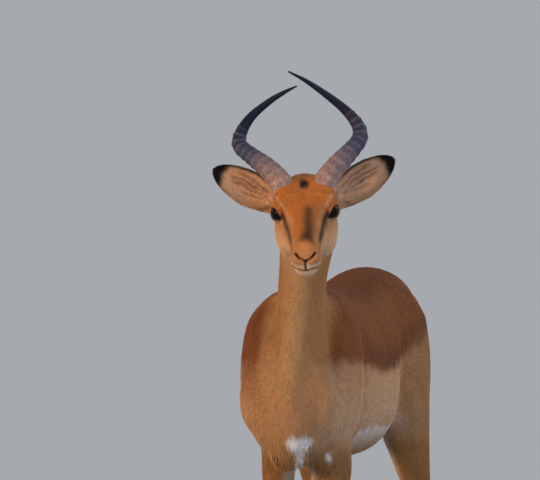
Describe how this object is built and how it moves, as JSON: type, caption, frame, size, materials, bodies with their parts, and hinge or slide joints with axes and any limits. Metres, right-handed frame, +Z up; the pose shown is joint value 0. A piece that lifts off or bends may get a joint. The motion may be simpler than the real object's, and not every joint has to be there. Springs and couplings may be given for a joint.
{
  "type": "impala model",
  "caption": "Life-size standing impala ram, a still museum-style model with lyre-shaped horns, leaf-shaped ears and cloven hooves.",
  "frame": {"origin": "middle of the overall box, at floor level, where the hooves stand", "axes": "the animal faces -Y, its own left side is +X and +Z is up"},
  "size_m": [0.3134, 1.1042, 1.2061],
  "materials": {
    "coat": "short hair",
    "saddle_coat": "short hair",
    "ear": "thin skin with short hair",
    "horn": "ridged horn, smooth at the point",
    "hoof": "worn horn",
    "eye": "wet and glossy"
  },
  "bodies": {
    "root": {"barrel": "saddle_coat", "forequarters": "coat", "hindquarters": "saddle_coat", "neck": "coat", "head": "coat", "tail": "coat", "forearm_left": "coat", "fore_cannon_left": "coat", "fore_pastern_left": "coat", "shank_left": "coat", "hind_cannon_left": "coat", "hind_pastern_left": "coat", "forearm_right": "coat", "fore_cannon_right": "coat", "fore_pastern_right": "coat", "shank_right": "coat", "hind_cannon_right": "coat", "hind_pastern_right": "coat", "ear_left": "ear", "eye_left": "eye", "horn_left": "horn", "ear_right": "ear", "eye_right": "eye", "horn_right": "horn", "claw_fore_left_left": "hoof", "claw_fore_left_right": "hoof", "claw_fore_right_left": "hoof", "claw_fore_right_right": "hoof", "claw_hind_left_left": "hoof", "claw_hind_left_right": "hoof", "claw_hind_right_left": "hoof", "claw_hind_right_right": "hoof"}
  },
  "joints": []
}
